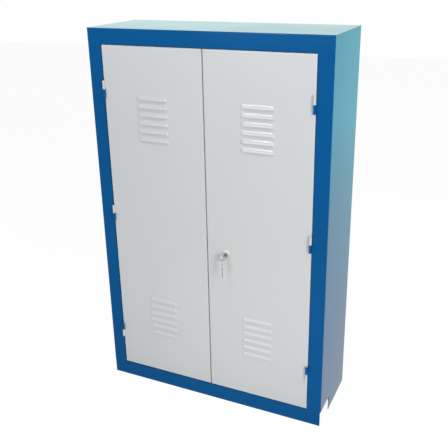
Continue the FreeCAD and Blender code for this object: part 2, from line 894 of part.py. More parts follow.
def door_panel(side):
    """Pan-shaped door with returned lips and two groups of louvres pressed out of its face."""
    name = f"{SIDE_NAMES[side]}_door_panel"
    body = doc.addObject("PartDesign::Body", f"{name}_body")
    bind(body, Placement__Base__y="front + door_recess", Placement__Base__z="door_bottom")
    low_x, high_x = span(side, "door_inner_x", "door_outer_x")

    def rectangle(label, inset, offset):
        sketch = body_sketch(body, "XZ_Plane", f"{name}_{label}", f"-({offset})")
        left, right = f"{low_x} + {inset}", f"{high_x} - ({inset})"
        bottom, top = inset, f"door_height - ({inset})"
        draw_polygon(sketch, [(left, bottom), (right, bottom), (right, top), (left, top)])
        return sketch

    outline = rectangle("outline", "0", "0")
    blank = body_feature(body, "PartDesign::Pad", f"{name}_blank", outline, Length="door_depth")
    blank.Reversed = True
    body_fillet(body, blank, f"{name}_folds", "door_fold_radius", "0")
    cavity = rectangle("cavity_outline", "door_sheet", "door_sheet")
    hollow = "door_depth - 2 * door_sheet"
    hollowed = body_feature(body, "PartDesign::Pocket", f"{name}_cavity", cavity, Length=hollow)
    inside = "door_fold_radius - door_sheet"
    body_fillet(body, hollowed, f"{name}_inner_folds", inside, "door_sheet")
    window = rectangle("window_outline", "door_lip", "door_depth - door_sheet")
    through = "door_sheet + overrun"
    body_feature(body, "PartDesign::Pocket", f"{name}_window", window, Length=through)
    if side == RIGHT:
        hole = body_sketch(body, "XZ_Plane", f"{name}_lock_outline")
        draw_circle(hole, "lock_barrel_radius + lock_hole_gap", "lock_x", "lock_height - door_bottom")
        body_feature(body, "PartDesign::Pocket", f"{name}_lock_hole", hole, Length=through)

    centre = sided(side, "door_centre_x")
    ends = {"near": "-", "far": "+"}
    features = []
    hood = body_sketch(body, "YZ_Plane", f"{name}_hood_section", centre)
    draw_hood(hood, "louvre_radius", "0")
    pressed = body_feature(body, "PartDesign::Pad", f"{name}_hood", hood, Length="louvre_straight")
    pressed.Midplane = True
    features.append(pressed)
    for end, sign in ends.items():
        place = f"{centre} {sign} louvre_straight / 2"
        section = body_sketch(body, "YZ_Plane", f"{name}_hood_{end}_section", place)
        draw_hood(section, "louvre_radius", "0")
        turned = body_feature(body, "PartDesign::Revolution", f"{name}_hood_{end}", section)
        turned.ReferenceAxis = (section, ["V_Axis"])
        turned.Angle = 180
        turned.Midplane = True
        features.append(turned)
    throat = body_sketch(body, "YZ_Plane", f"{name}_throat_section", centre)
    draw_hood(throat, "throat_radius", "door_sheet")
    opened = body_feature(
        body, "PartDesign::Pocket", f"{name}_throat", throat, Length="louvre_straight"
    )
    opened.Midplane = True
    features.append(opened)
    for end, sign in ends.items():
        place = f"{centre} {sign} louvre_straight / 2"
        section = body_sketch(body, "YZ_Plane", f"{name}_throat_{end}_section", place)
        draw_hood(section, "throat_radius", "0")
        turned = body_feature(body, "PartDesign::Groove", f"{name}_throat_{end}", section)
        turned.ReferenceAxis = (section, ["V_Axis"])
        turned.Angle = 180
        turned.Midplane = True
        features.append(turned)
    rows = body.newObject("PartDesign::LinearPattern", f"{name}_louvres")
    rows.Originals = features
    rows.Direction = (hood, ["V_Axis"])
    rows.Direction2 = (hood, ["V_Axis"])
    rows.Reversed = True
    rows.Reversed2 = True
    bind(
        rows,
        Length="louvre_run",
        Occurrences="louvre_rows",
        Length2="louvre_group_run",
        Occurrences2="louvre_groups",
    )
    body.Tip = rows
    keep(body, name)


def door_stiffener(side):
    """Hat channel on the inside of a door, between its groups of louvres."""
    name = f"{SIDE_NAMES[side]}_door_stiffener"
    centre = sided(side, "door_centre_x")
    wide = "stiffener_width / 2"
    crown = ("door_inside + stiffener_rise - door_sheet", "door_inside + stiffener_rise")
    middle = "door_bottom + door_height / 2"
    z = (f"{middle} - stiffener_length / 2", f"{middle} + stiffener_length / 2")
    solids = [block(f"{name}_crown", (f"{centre} - {wide}", f"{centre} + {wide}"), crown, z)]
    for end, sign in (("near", "-"), ("far", "+")):
        flank = f"{centre} {sign} {wide}"
        inner = f"{centre} {sign} ({wide} - door_sheet)"
        toe = f"{centre} {sign} ({wide} + stiffener_foot)"
        flank_x = (flank, inner) if sign == "-" else (inner, flank)
        toe_x = (toe, inner) if sign == "-" else (inner, toe)
        solids.append(block(f"{name}_{end}_flank", flank_x, ("door_inside", crown[1]), z))
        foot_y = ("door_inside", "door_inside + door_sheet")
        solids.append(block(f"{name}_{end}_foot", toe_x, foot_y, z))
    keep(joined(f"{name}_channel", solids), name)


# Lock
def lock_housing():
    """Round housing with a raised rim in front of the door and a barrel behind it."""
    rim = depth_rod(
        "housing_rim", "lock_rim_radius", "lock_x", ("lock_front", "door_recess"), "lock_height"
    )
    barrel = depth_rod(
        "housing_barrel", "lock_barrel_radius", "lock_x", ("lock_front", "lock_back"), "lock_height"
    )
    edge_y = value("front + lock_front")
    solid = rounded(
        "housing_rounded",
        joined("housing_solid", [rim, barrel]),
        {"lock_rim_round": lambda edge: lies(edge, y=edge_y)},
    )
    bore = depth_rod(
        "housing_bore",
        "plug_radius + running_gap",
        "lock_x",
        ("lock_front - overrun", "lock_back + overrun"),
        "lock_height",
    )
    keep(cut("housing_bored", solid, bore), "lock_housing")


def lock_nut():
    """Hexagon nut that clamps the housing from behind the door's sheet."""
    prism = doc.addObject("Part::Prism", "nut_blank")
    prism.Polygon = 6
    prism.Placement = Placement(Vector(0, 0, 0), Rotation(Vector(1, 0, 0), -90))
    bind(
        prism,
        Circumradius="lock_nut_width / sqrt(3)",
        Height="lock_nut_height",
        Placement__Base__x="lock_x",
        Placement__Base__y="front + door_inside",
        Placement__Base__z="lock_height",
    )
    bore = depth_rod(
        "nut_bore",
        "lock_barrel_radius + press_gap",
        "lock_x",
        ("door_inside - overrun", "door_inside + lock_nut_height + overrun"),
        "lock_height",
    )
    keep(cut("nut_bored", prism, bore), "lock_nut")


def lock_plug():
    """Turning plug with its keyway, the square that carries the cam and the screw's hole."""
    core = depth_rod("plug_core", "plug_radius", "lock_x", ("plug_front", "lock_back"), "lock_height")
    half_boss = "plug_boss / 2"
    boss = block(
        "plug_square",
        (f"lock_x - {half_boss}", f"lock_x + {half_boss}"),
        ("lock_back", "cam_back"),
        (f"lock_height - {half_boss}", f"lock_height + {half_boss}"),
    )
    keyway = block(
        "plug_keyway",
        ("lock_x - keyway_width / 2", "lock_x + keyway_width / 2"),
        ("plug_front - overrun", "plug_front + keyway_depth"),
        ("lock_height - keyway_height / 2", "lock_height + keyway_height / 2"),
    )
    hole = depth_rod(
        "plug_screw_hole",
        "cam_screw_radius + press_gap",
        "lock_x",
        ("cam_back - cam_screw_length", "cam_back + overrun"),
        "lock_height",
    )
    plug = cut("plug_cut", joined("plug_solid", [core, boss]), joined("plug_cuts", [keyway, hole]))
    keep(plug, "lock_plug")


def lock_cam():
    """Flat arm on the plug's square; it hangs down when open and reaches the other door when shut."""
    round_end = "cam_width / 2"
    y = ("lock_back", "cam_back")
    tip = f"lock_height - cam_reach + {round_end}"
    solids = [
        depth_rod("cam_eye", round_end, "lock_x", y, "lock_height"),
        depth_rod("cam_tip", round_end, "lock_x", y, tip),
        block(
            "cam_arm",
            (f"lock_x - {round_end}", f"lock_x + {round_end}"),
            y,
            (tip, "lock_height"),
        ),
    ]
    half_hole = "plug_boss / 2 + boss_gap"
    hole = block(
        "cam_square_hole",
        (f"lock_x - ({half_hole})", f"lock_x + {half_hole}"),
        ("lock_back - overrun", "cam_back + overrun"),
        (f"lock_height - ({half_hole})", f"lock_height + {half_hole}"),
    )
    keep(cut("cam_cut", joined("cam_solid", solids), hole), "lock_cam")


def cam_screw():
    """Slotted screw that holds the cam on the plug."""
    head_y = ("cam_back", "cam_back + cam_screw_head")
    shank_y = ("cam_back - cam_screw_length", "cam_back")
    head = depth_rod("screw_head", "cam_screw_head_radius", "lock_x", head_y, "lock_height")
    shank = depth_rod("screw_shank", "cam_screw_radius", "lock_x", shank_y, "lock_height")
    slot = block(
        "screw_slot_cut",
        ("lock_x - cam_screw_head_radius - overrun", "lock_x + cam_screw_head_radius + overrun"),
        ("cam_back + cam_screw_head - screw_slot", "cam_back + cam_screw_head + overrun"),
        ("lock_height - screw_slot / 2", "lock_height + screw_slot / 2"),
    )
    keep(cut("screw_cut", joined("screw_solid", [head, shank]), slot), "cam_screw")


def key_shape(name):
    """Flat key as it sits in the plug: cut blade, neck, and a round bow with a hole."""
    x = ("lock_x - key_thickness / 2", "lock_x + key_thickness / 2")
    low = "lock_height - key_height / 2"
    high = "lock_height + key_height / 2"
    tip = "key_front + key_blade"
    neck_half = "key_neck_height / 2"
    solids = [
        block(f"{name}_blade_bar", x, ("key_front", tip), (low, high)),
        block(
            f"{name}_neck_bar",
            x,
            ("bow_y", "key_front"),
            (f"lock_height - {neck_half}", f"lock_height + {neck_half}"),
        ),
        cross_rod(f"{name}_bow", "key_bow_radius", x, "bow_y", "lock_height"),
    ]
    past = (f"{x[0]} - overrun", f"{x[1]} + overrun")
    hole = cross_rod(f"{name}_ring_hole", "key_hole_radius", past, "key_hole_y", "lock_height")
    cuts = [hole]
    step = f"key_blade / {len(KEY_CUT_SHARES) + 1}"
    for n, share in enumerate(KEY_CUT_SHARES, start=1):
        middle = f"{tip} - {n} * {step}"
        y = (f"{middle} - key_cut_width / 2", f"{middle} + key_cut_width / 2")
        z = (f"{low} - overrun", f"{low} + {share} * key_cut_depth")
        cuts.append(block(f"{name}_cut_{n}", past, y, z))
    return cut(f"{name}_shaped", joined(f"{name}_solid", solids), joined(f"{name}_cuts", cuts))


def key():
    """Key that sits in the lock."""
    keep(key_shape("key"), "key")


def key_ring():
    """Wire ring through the holes of the two keys."""
    ring = doc.addObject("Part::Torus", "ring_wire")
    ring.Placement = Placement(Vector(0, 0, 0), Rotation(value("ring_turn"), 0, 90))
    bind(
        ring,
        Radius1="ring_radius",
        Radius2="ring_wire_radius",
        Placement__Base__x="lock_x",
        Placement__Base__y="front + key_hole_y",
        Placement__Base__z="ring_z",
    )
    keep(ring, "key_ring")


def spare_key():
    """Second key, hung from the ring by its bow and turned square to the ring's wire."""
    spare = key_shape("spare")
    drop = "create(<<vector>>; 0; 0; spare_hole_z - lock_height)"
    turn = "create(<<rotation>>; ring_turn; 0; -90)"
    hole = "create(<<vector>>; lock_x; front + key_hole_y; lock_height)"
    bind(spare, Placement=f"create(<<placement>>; {drop}; {turn}; {hole})")
    keep(spare, "spare_key")


# Hand bolts on the left door. Heights run from a bolt's tail towards its tip.
def hand_bolt(place, tail, upward):
    """Round bolt, its knob and the two brackets that guide it."""

    def from_tail(near, far):
        if upward:
            return f"{tail} + {near}", f"{tail} + {far}"
        return f"{tail} - ({far})", f"{tail} - ({near})"

    x = "-bolt_x"
    shaft_z = from_tail("0", "bolt_length")
    tip = value(shaft_z[1] if upward else shaft_z[0])
    shaft = upright_rod(f"{place}_shaft", "bolt_radius", x, "bolt_y", shaft_z)
    shaft = rounded(
        f"{place}_shaft_rounded", shaft, {"bolt_tip_round": lambda edge: lies(edge, z=tip)}
    )
    knob_z = f"{tail} + knob_from_tail" if upward else f"{tail} - knob_from_tail"
    collar = "-(bolt_x + bolt_radius)"
    head_x = f"{collar} - knob_length"
    socket_x = (f"{collar} - overrun", x)
    socket = cross_rod(
        f"{place}_socket", "knob_shank_radius + press_gap", socket_x, "bolt_y", knob_z
    )
    keep(cut(f"{place}_shaft_drilled", shaft, socket), f"{place}_bolt")
    end_x = f"{head_x} - knob_head"
    knob_solids = [
        cross_rod(f"{place}_knob_shank", "knob_shank_radius", (collar, x), "bolt_y", knob_z),
        cross_rod(f"{place}_knob_stem", "knob_radius", (head_x, collar), "bolt_y", knob_z),
        cross_rod(f"{place}_knob_head", "knob_head_radius", (end_x, head_x), "bolt_y", knob_z),
    ]
    outer = value(end_x)
    knob = rounded(
        f"{place}_knob_rounded",
        joined(f"{place}_knob_solid", knob_solids),
        {"knob_round": lambda edge: lies(edge, x=outer)},
    )
    keep(knob, f"{place}_bolt_knob")
    guide_x = ("-(bolt_x + guide_width / 2)", "-(bolt_x - guide_width / 2)")
    brackets = []
    feet = {
        "tail": ("tail_guide", "tail_guide - guide_foot", "tail_guide + guide_sheet"),
        "tip": ("tip_guide", "tip_guide", "tip_guide + guide_foot + guide_sheet"),
    }
    for end, (web, low, high) in feet.items():
        web_z = from_tail(web, f"{web} + guide_sheet")
        foot_z = from_tail(low, high)
        web_y = ("door_inside", "guide_back")
        foot_y = ("door_inside", "door_inside + guide_sheet")
        brackets.append(block(f"{place}_{end}_web", guide_x, web_y, web_z))
        brackets.append(block(f"{place}_{end}_foot", guide_x, foot_y, foot_z))
    bore_z = from_tail("tail_guide - overrun", "tip_guide + guide_sheet + overrun")
    bore = upright_rod(f"{place}_bore", "bolt_radius + bolt_guide_gap", x, "bolt_y", bore_z)
    guides = cut(f"{place}_guides_cut", joined(f"{place}_guides_solid", brackets), bore)
    keep(guides, f"{place}_bolt_guides")


for side in (LEFT, RIGHT):
    side_panel(side)
top_panel()
bottom_panel()
back_panel()
for side in (LEFT, RIGHT):
    for place, y in RACK_PLACES.items():
        shelf_rack(side, place, y)
for place, slot in SHELF_SLOTS.items():
    shelf(place, slot)
shelf_clips()
door_buffers()
for side in (LEFT, RIGHT):
    hinge_set(side)
    door_panel(side)
    door_stiffener(side)
lock_housing()
lock_nut()
lock_plug()
lock_cam()
cam_screw()
key()
key_ring()
spare_key()
hand_bolt("upper", "opening_top - stop_lip - bolt_end_gap - bolt_length", True)
hand_bolt("lower", "bottom_rail + bolt_end_gap + bolt_length", False)

doc.recompute()
for item in doc.Objects:
    if {"Invalid", "Error"} & set(item.State):
        raise RuntimeError(f"{item.Name} failed: {item.State}")
os.makedirs("parts", exist_ok=True)
for name, item in parts.items():
    if item.Shape.isNull() or not item.Shape.isValid():
        raise RuntimeError(f"{name} has no valid shape")
for name, item in parts.items():
    item.Shape.exportStep(f"parts/{name}.step")
    box = item.Shape.BoundBox
    size = f"{box.XLength:.1f} x {box.YLength:.1f} x {box.ZLength:.1f}"
    print(f"{name}: {len(item.Shape.Solids)} solids, {size} mm")
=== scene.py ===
"""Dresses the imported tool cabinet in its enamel, zinc and nickel, and sets it in a plain studio."""

from __future__ import annotations

import json
import logging
import math
from dataclasses import dataclass, field
from enum import Enum

import bmesh
import bpy
from mathutils import Matrix, Vector

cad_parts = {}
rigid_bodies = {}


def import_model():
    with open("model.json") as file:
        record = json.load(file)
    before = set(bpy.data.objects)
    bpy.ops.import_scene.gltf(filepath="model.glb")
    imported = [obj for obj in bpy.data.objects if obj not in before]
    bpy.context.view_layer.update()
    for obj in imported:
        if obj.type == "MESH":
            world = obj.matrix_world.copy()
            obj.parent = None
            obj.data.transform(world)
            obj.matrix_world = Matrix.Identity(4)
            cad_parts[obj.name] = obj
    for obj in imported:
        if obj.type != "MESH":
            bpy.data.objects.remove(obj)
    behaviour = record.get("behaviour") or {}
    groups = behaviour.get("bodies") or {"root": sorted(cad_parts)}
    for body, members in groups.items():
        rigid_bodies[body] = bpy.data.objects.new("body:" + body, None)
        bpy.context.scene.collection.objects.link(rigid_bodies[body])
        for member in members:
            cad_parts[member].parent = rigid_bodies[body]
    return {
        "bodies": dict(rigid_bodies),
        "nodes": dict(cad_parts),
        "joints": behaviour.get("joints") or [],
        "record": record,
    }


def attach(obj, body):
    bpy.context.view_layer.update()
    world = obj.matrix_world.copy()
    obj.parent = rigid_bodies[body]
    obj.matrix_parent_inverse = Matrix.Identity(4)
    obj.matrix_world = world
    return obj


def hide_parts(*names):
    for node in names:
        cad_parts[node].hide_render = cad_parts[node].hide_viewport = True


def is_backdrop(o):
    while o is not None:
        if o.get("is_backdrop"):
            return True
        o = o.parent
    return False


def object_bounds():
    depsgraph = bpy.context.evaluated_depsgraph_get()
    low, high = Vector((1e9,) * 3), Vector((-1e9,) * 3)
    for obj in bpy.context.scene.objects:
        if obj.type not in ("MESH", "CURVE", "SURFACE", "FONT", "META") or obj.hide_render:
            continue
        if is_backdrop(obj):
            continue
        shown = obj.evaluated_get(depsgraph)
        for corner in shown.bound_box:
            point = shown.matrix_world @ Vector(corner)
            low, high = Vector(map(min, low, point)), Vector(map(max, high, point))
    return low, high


LOG = logging.getLogger("tool_cabinet")

Colour = tuple[float, float, float]
Place = tuple[float, float, float]


class Body(Enum):
    """Moving bodies of the cabinet that scene pieces ride on."""

    CARCASS = "carcass"
    LEFT_DOOR = "left_door"
    RIGHT_DOOR = "right_door"
    KEY_RING = "key_ring"


class Slot(Enum):
    """Material slots of the record."""

    BLUE_PAINT = "blue_paint"
    GREY_PAINT = "grey_paint"
    ZINC = "zinc"
    NICKEL = "nickel"
    RUBBER = "rubber"
    KNOB_PLASTIC = "knob_plastic"


class Axis(Enum):
    """Direction along which a grain is drawn out."""

    Y = (1.0, 0.08, 1.0)
    Z = (1.0, 1.0, 0.08)


# Values of a noise between which each effect sets in, from none to full
NIB_SPAN = (0.8, 0.86)
FILM_SPAN = (0.3, 0.7)
SMEAR_SPAN = (0.2, 0.8)
PATCH_SPAN = (0.5, 0.75)
SCUFF_SPAN = (0.66, 0.74)
GRIT_SPAN = (0.35, 0.75)
PIT_SPAN = (0.74, 0.82)

NIB_RISE = 1.5
WIPE_STRETCH = (1.0, 1.0, 0.35)
GRIT_SIZE = 0.002
DUST_FALLOFF = 2.0
PIT_SIZE = 0.0009


# Shader effects that several finishes share
class EffectGroup:
    """A shader node group under construction."""

    def __init__(self, name: str) -> None:
        """Start an empty group.

        Args:
            name: Name of the group.
        """
        self.tree = bpy.data.node_groups.new(name, "ShaderNodeTree")
        self.entry = self.tree.nodes.new("NodeGroupInput")
        self.exit = self.tree.nodes.new("NodeGroupOutput")

    def add_input(self, name: str, kind: str = "NodeSocketFloat", default: float = 0.0) -> None:
        """Add a named input.

        Args:
            name: Name of the socket.
            kind: Type of the socket.
            default: Value of a number socket before it is set.
        """
        socket = self.tree.interface.new_socket(name, in_out="INPUT", socket_type=kind)
        if kind == "NodeSocketFloat":
            socket.default_value = default

    def add_output(self, name: str, source: bpy.types.NodeSocket) -> None:
        """Add a named number output.

        Args:
            name: Name of the socket.
            source: Socket inside the group that feeds it.
        """
        self.tree.interface.new_socket(name, in_out="OUTPUT", socket_type="NodeSocketFloat")
        self.tree.links.new(source, self.exit.inputs[name])

    def given(self, name: str) -> bpy.types.NodeSocket:
        """Give the inside end of an input."""
        return self.entry.outputs[name]

    def node(self, kind: str, **settings: object) -> bpy.types.Node:
        """Add a node.

        Args:
            kind: Type of the node.
            **settings: Attributes of the node.

        Returns:
            The new node.
        """
        made = self.tree.nodes.new(kind)
        for key, setting in settings.items():
            setattr(made, key, setting)
        return made

    def feed(self, source: bpy.types.NodeSocket | float, target: bpy.types.NodeSocket) -> None:
        """Link a socket to an input, or set the input to a number.

        Args:
            source: Socket or number.
            target: Input to feed.
        """
        if isinstance(source, bpy.types.NodeSocket):
            self.tree.links.new(source, target)
        else:
            target.default_value = source

    def math(
        self,
        operation: str,
        first: bpy.types.NodeSocket | float,
        second: bpy.types.NodeSocket | float,
        clamp: bool = False,
    ) -> bpy.types.NodeSocket:
        """Add a Math node.

        Args:
            operation: Blender's name of the operation.
            first: First operand.
            second: Second operand.
            clamp: Whether the result is kept from 0 to 1.

        Returns:
            The result.
        """
        made = self.node("ShaderNodeMath", operation=operation, use_clamp=clamp)
        self.feed(first, made.inputs[0])
        self.feed(second, made.inputs[1])
        return made.outputs[0]

    def noise(
        self,
        vector: bpy.types.NodeSocket,
        size: bpy.types.NodeSocket | float,
        detail: float = 2.0,
        roughness: float = 0.5,
    ) -> bpy.types.NodeSocket:
        """Add a noise whose lumps have a size in metres.

        Args:
            vector: Place on the surface.
            size: Size of a lump.
            detail: Octaves of the noise.
            roughness: Strength of the finer octaves.

        Returns:
            The noise's value, from 0 to 1.
        """
        made = self.node("ShaderNodeTexNoise")
        self.feed(vector, made.inputs["Vector"])
        self.feed(self.math("DIVIDE", 1.0, size), made.inputs["Scale"])
        made.inputs["Detail"].default_value = detail
        made.inputs["Roughness"].default_value = roughness
        return made.outputs["Fac"]

    def ramp(
        self, source: bpy.types.NodeSocket, low: float, high: float
    ) -> bpy.types.NodeSocket:
        """Stretch a span of values to 0 and 1, smoothly at both ends.

        Args:
            source: Value to stretch.
            low: Value that becomes 0.
            high: Value that becomes 1.

        Returns:
            The stretched value.
        """
        made = self.node("ShaderNodeMapRange", interpolation_type="SMOOTHSTEP")
        self.feed(source, made.inputs["Value"])
        made.inputs["From Min"].default_value = low
        made.inputs["From Max"].default_value = high
        return made.outputs["Result"]


def build_sprayed_skin() -> bpy.types.NodeTree:
    """Build the skin of sprayed enamel: its orange peel, dust nibs and uneven film.

    Returns:
        The group's tree.
    """
    group = EffectGroup("sprayed_skin")
    group.add_input("Vector", "NodeSocketVector")
    group.add_input("Peel Size", default=0.003)
    group.add_input("Nib Size", default=0.012)
    group.add_input("Film Size", default=0.35)
    place = group.given("Vector")
    peel = group.noise(place, group.given("Peel Size"), detail=1.0)
    nib_noise = group.noise(place, group.given("Nib Size"), detail=0.0)
    nibs = group.ramp(nib_noise, *NIB_SPAN)
    height = group.math("ADD", peel, group.math("MULTIPLY", nibs, NIB_RISE))
    film = group.noise(place, group.given("Film Size"), detail=3.0, roughness=0.55)
    group.add_output("Height", height)
    group.add_output("Film", group.ramp(film, *FILM_SPAN))
    return group.tree


def build_handling_marks() -> bpy.types.NodeTree:
    """Build what use leaves on a finish: wiped smears, fine scuffs and dust near the floor.

    Returns:
        The group's tree.
    """
    group = EffectGroup("handling_marks")
    group.add_input("Vector", "NodeSocketVector")
    group.add_input("Smear Size", default=0.12)
    group.add_input("Scuff Size", default=0.004)
    group.add_input("Dust Height", default=0.25)
    place = group.given("Vector")
    stretch = group.node("ShaderNodeVectorMath", operation="MULTIPLY")
    group.feed(place, stretch.inputs[0])
    stretch.inputs[1].default_value = WIPE_STRETCH
    drawn = stretch.outputs["Vector"]
    smear_noise = group.noise(drawn, group.given("Smear Size"), detail=2.0)
    smear = group.ramp(smear_noise, *SMEAR_SPAN)
    patch_noise = group.noise(place, group.given("Smear Size"), detail=1.0)
    patch = group.ramp(patch_noise, *PATCH_SPAN)
    scuff_noise = group.noise(drawn, group.given("Scuff Size"), detail=2.0, roughness=0.7)
    scuff = group.math("MULTIPLY", group.ramp(scuff_noise, *SCUFF_SPAN), patch)
    split = group.node("ShaderNodeSeparateXYZ")
    group.feed(place, split.inputs[0])
    rise = group.math("DIVIDE", split.outputs["Z"], group.given("Dust Height"))
    low = group.math("SUBTRACT", 1.0, rise, clamp=True)
    settled = group.math("POWER", low, DUST_FALLOFF)
    grit = group.ramp(group.noise(place, GRIT_SIZE, detail=2.0), *GRIT_SPAN)
    group.add_output("Smear", smear)
    group.add_output("Scuff", scuff)
    group.add_output("Dust", group.math("MULTIPLY", settled, grit))
    return group.tree


def build_rolled_grain() -> bpy.types.NodeTree:
    """Build drawn or polished metal: streaks along one direction, plating blooms and pits.

    Returns:
        The group's tree.
    """
    group = EffectGroup("rolled_grain")
    group.add_input("Vector", "NodeSocketVector")
    group.add_input("Draw", "NodeSocketVector")
    group.add_input("Streak Size", default=0.0006)
    group.add_input("Bloom Size", default=0.006)
    place = group.given("Vector")
    stretch = group.node("ShaderNodeVectorMath", operation="MULTIPLY")
    group.feed(place, stretch.inputs[0])
    group.feed(group.given("Draw"), stretch.inputs[1])
    drawn = stretch.outputs["Vector"]
    streak = group.noise(drawn, group.given("Streak Size"), detail=3.0, roughness=0.6)
    cells = group.node("ShaderNodeTexVoronoi")
    group.feed(place, cells.inputs["Vector"])
    group.feed(group.math("DIVIDE", 1.0, group.given("Bloom Size")), cells.inputs["Scale"])
    split = group.node("ShaderNodeSeparateColor")
    group.feed(cells.outputs["Color"], split.inputs["Color"])
    pits = group.ramp(group.noise(place, PIT_SIZE, detail=1.0), *PIT_SPAN)
    group.add_output("Streak", streak)
    group.add_output("Bloom", split.outputs["Red"])
    group.add_output("Height", group.math("SUBTRACT", streak, pits))
    return group.tree


@dataclass(frozen=True)
class Effects:
    """The shared shader groups."""

    sprayed_skin: bpy.types.NodeTree
    handling_marks: bpy.types.NodeTree
    rolled_grain: bpy.types.NodeTree

    @staticmethod
    def build() -> Effects:
        """Build every shared group."""
        return Effects(build_sprayed_skin(), build_handling_marks(), build_rolled_grain())


class Surface:
    """A material under construction round one Principled shader."""

    def __init__(self, name: str) -> None:
        """Start a material.

        Args:
            name: Name of the material.
        """
        self.material = bpy.data.materials.new(name)
        self.material.use_nodes = True
        self.tree = self.material.node_tree
        self.shader = self.tree.nodes["Principled BSDF"]
        self.place = self.tree.nodes.new("ShaderNodeTexCoord").outputs["Object"]

    def effect(self, tree: bpy.types.NodeTree, **values: float | Colour) -> bpy.types.Node:
        """Place a shared group with its own values.

        Args:
            tree: The shared group.
            **values: Values of its inputs, with underscores for spaces.

        Returns:
            The group's node.
        """
        made = self.tree.nodes.new("ShaderNodeGroup")
        made.node_tree = tree
        self.tree.links.new(self.place, made.inputs["Vector"])
        for key, number in values.items():
            made.inputs[key.replace("_", " ").title()].default_value = number
        return made

    def blend(
        self,
        mask: bpy.types.NodeSocket,
        first: Colour | bpy.types.NodeSocket,
        second: Colour | bpy.types.NodeSocket,
    ) -> bpy.types.NodeSocket:
        """Mix two colours by a mask.

        Args:
            mask: Share of the second colour.
            first: Colour where the mask is 0.
            second: Colour where the mask is 1.

        Returns:
            The mixed colour.
        """
        made = self.tree.nodes.new("ShaderNodeMix")
        made.data_type = "RGBA"
        self.tree.links.new(mask, made.inputs[0])
        for source, target in ((first, made.inputs[6]), (second, made.inputs[7])):
            if isinstance(source, bpy.types.NodeSocket):
                self.tree.links.new(source, target)
            else:
                target.default_value = (*source, 1.0)
        return made.outputs[2]

    def span(
        self, mask: bpy.types.NodeSocket, low: float, high: float
    ) -> bpy.types.NodeSocket:
        """Stretch a mask from 0 and 1 to two values.

        Args:
            mask: The mask.
            low: Value where it is 0.
            high: Value where it is 1.

        Returns:
            The stretched value.
        """
        made = self.tree.nodes.new("ShaderNodeMapRange")
        self.tree.links.new(mask, made.inputs["Value"])
        made.inputs["To Min"].default_value = low
        made.inputs["To Max"].default_value = high
        return made.outputs["Result"]

    def total(
        self, first: bpy.types.NodeSocket, second: bpy.types.NodeSocket
    ) -> bpy.types.NodeSocket:
        """Add two values.

        Args:
            first: First value.
            second: Second value.

        Returns:
            Their sum.
        """
        made = self.tree.nodes.new("ShaderNodeMath")
        made.operation = "ADD"
        self.tree.links.new(first, made.inputs[0])
        self.tree.links.new(second, made.inputs[1])
        return made.outputs[0]

    def relief(self, height: bpy.types.NodeSocket, depth: float, edge: float) -> None:
        """Bump the surface and soften its edges.

        Args:
            height: Height from 0 to 1.
            depth: Depth in metres of a height of 1.
            edge: Radius in metres of the softened edges.
        """
        soft = self.tree.nodes.new("ShaderNodeBevel")
        soft.samples = 6
        soft.inputs["Radius"].default_value = edge
        bump = self.tree.nodes.new("ShaderNodeBump")
        bump.inputs["Distance"].default_value = depth
        self.tree.links.new(height, bump.inputs["Height"])
        self.tree.links.new(soft.outputs["Normal"], bump.inputs["Normal"])
        self.tree.links.new(bump.outputs["Normal"], self.shader.inputs["Normal"])

    def link(self, source: bpy.types.NodeSocket, name: str) -> None:
        """Feed an input of the shader."""
        self.tree.links.new(source, self.shader.inputs[name])

    def set(self, **values: float) -> None:
        """Set inputs of the shader, with underscores for spaces."""
        for key, number in values.items():
            self.shader.inputs[key.replace("_", " ")].default_value = number


# Finishes
@dataclass(frozen=True)
class Enamel:
    """Stoved enamel sprayed on sheet steel."""

    name: str
    slot: Slot
    colour: Colour
    thin_colour: Colour
    dust_colour: Colour
    low_roughness: float
    high_roughness: float
    gloss: float
    peel_depth: float
    peel_size: float = 0.0032
    nib_size: float = 0.02
    film_size: float = 0.4
    smear_size: float = 0.16
    scuff_size: float = 0.003
    edge: float = 0.0004

    def material(self, effects: Effects) -> bpy.types.Material:
        """Build the finish.

        Args:
            effects: The shared groups.

        Returns:
            The material.
        """
        surface = Surface(self.name)
        skin = surface.effect(
            effects.sprayed_skin,
            peel_size=self.peel_size,
            nib_size=self.nib_size,
            film_size=self.film_size,
        )
        marks = surface.effect(
            effects.handling_marks, smear_size=self.smear_size, scuff_size=self.scuff_size
        )
        paint = surface.blend(skin.outputs["Film"], self.colour, self.thin_colour)
        dusty = surface.blend(marks.outputs["Dust"], paint, self.dust_colour)
        surface.link(dusty, "Base Color")
        spread = self.high_roughness - self.low_roughness
        smears = surface.span(marks.outputs["Smear"], self.low_roughness, self.high_roughness)
        scuffs = surface.span(marks.outputs["Scuff"], 0.0, spread)
        surface.link(surface.total(smears, scuffs), "Roughness")
        surface.relief(skin.outputs["Height"], self.peel_depth, self.edge)
        surface.set(Specular_IOR_Level=self.gloss)
        return surface.material


